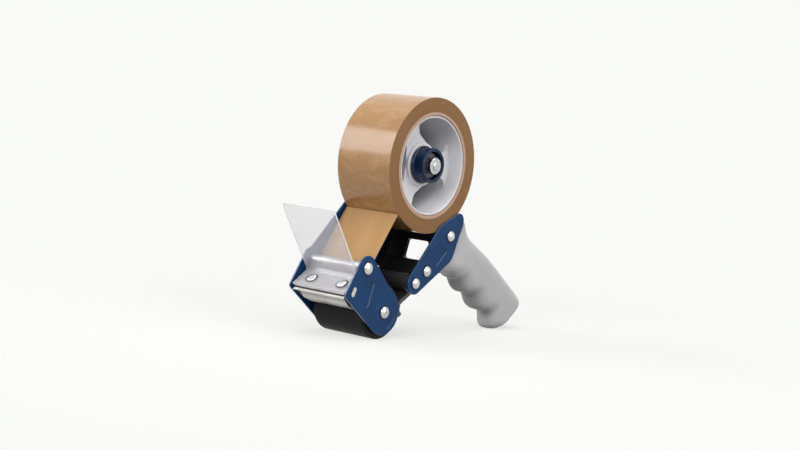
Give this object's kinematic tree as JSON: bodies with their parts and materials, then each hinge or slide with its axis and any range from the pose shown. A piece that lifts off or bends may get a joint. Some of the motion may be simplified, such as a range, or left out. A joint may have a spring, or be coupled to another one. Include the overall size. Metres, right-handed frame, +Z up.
{
  "type": "packing tape dispenser",
  "caption": "Hand-held packing tape dispenser with a slanted grip, a roll of brown tape on a braked hub, a press roller, a toothed blade and a clear spring-loaded guard flap.",
  "frame": {"origin": "middle of the bounding box at floor level, with the tool standing on its press roller and on the heel of its grip", "axes": "+X across the tool towards the tension knob, +Y back towards the end of the grip, +Z up"},
  "size_m": [0.0626, 0.2454, 0.1822],
  "materials": {
    "blue_paint": "satin dark blue enamel",
    "kraft_tape": "glossy brown packing tape",
    "adhesive": "matt adhesive side of the brown tape",
    "paper_core": "pinkish brown cardboard",
    "black_plastic": "glossy black",
    "rubber": "satin black",
    "grey_plastic": "satin light grey",
    "white_plastic": "satin white grey",
    "steel": "polished zinc plate",
    "holder_steel": "brushed",
    "clear_plastic": "clear"
  },
  "bodies": {
    "frame": {"blade_holder": "holder_steel", "brake_spring": "steel", "brake_washer": "steel", "cutting_blade": "steel", "flap_screw_far": "steel", "flap_screw_near": "steel", "flap_shaft": "steel", "flap_spring": "steel", "frame_plate": "blue_paint", "frame_screw_low": "steel", "frame_screw_middle": "steel", "frame_screw_top": "steel", "front_side_plate": "blue_paint", "handle_grip": "grey_plastic", "handle_screw_low": "steel", "handle_screw_middle": "steel", "handle_screw_top": "steel", "hub_axle": "steel", "hub_washer": "steel", "rear_side_plate": "blue_paint", "roller_axle": "steel", "roller_screw_far": "steel", "roller_screw_near": "steel", "tape_bed": "black_plastic", "tape_strip": "adhesive"},
    "tape_hub": {"core_hub": "white_plastic", "tape_core": "paper_core", "tape_roll": "kraft_tape"},
    "press_roller": {"roller_rubber": "rubber", "roller_core": "black_plastic"},
    "guard_flap": {"flap_plate": "steel", "clear_shield": "clear_plastic", "flap_rivet_far": "steel", "flap_rivet_near": "steel"},
    "tension_knob_unit": {"tension_knob": "blue_paint", "knob_insert": "black_plastic", "lock_nut": "steel"}
  },
  "joints": [
    {"name": "hub_spin", "type": "hinge", "parent": "frame", "child": "tape_hub", "pos_m": [0.00042, -0.01463, 0.1305], "axis": [1, 0, 0], "continuous": true},
    {"name": "roller_spin", "type": "hinge", "parent": "frame", "child": "press_roller", "pos_m": [0.00042, -0.05953, 0.0208], "axis": [1, 0, 0], "continuous": true},
    {"name": "flap_hinge", "type": "hinge", "parent": "frame", "child": "guard_flap", "pos_m": [0.00042, -0.08283, 0.0538], "axis": [-1, 0, 0], "range_deg": [0, 40], "stiffness_Nm_per_rad": 0.08, "springref_deg": -34.38, "deforming": ["flap_spring"]},
    {"name": "knob_turn", "type": "hinge", "parent": "frame", "child": "tension_knob_unit", "pos_m": [0.00042, -0.01463, 0.1305], "axis": [1, 0, 0], "range_deg": [-180, 180]}
  ]
}
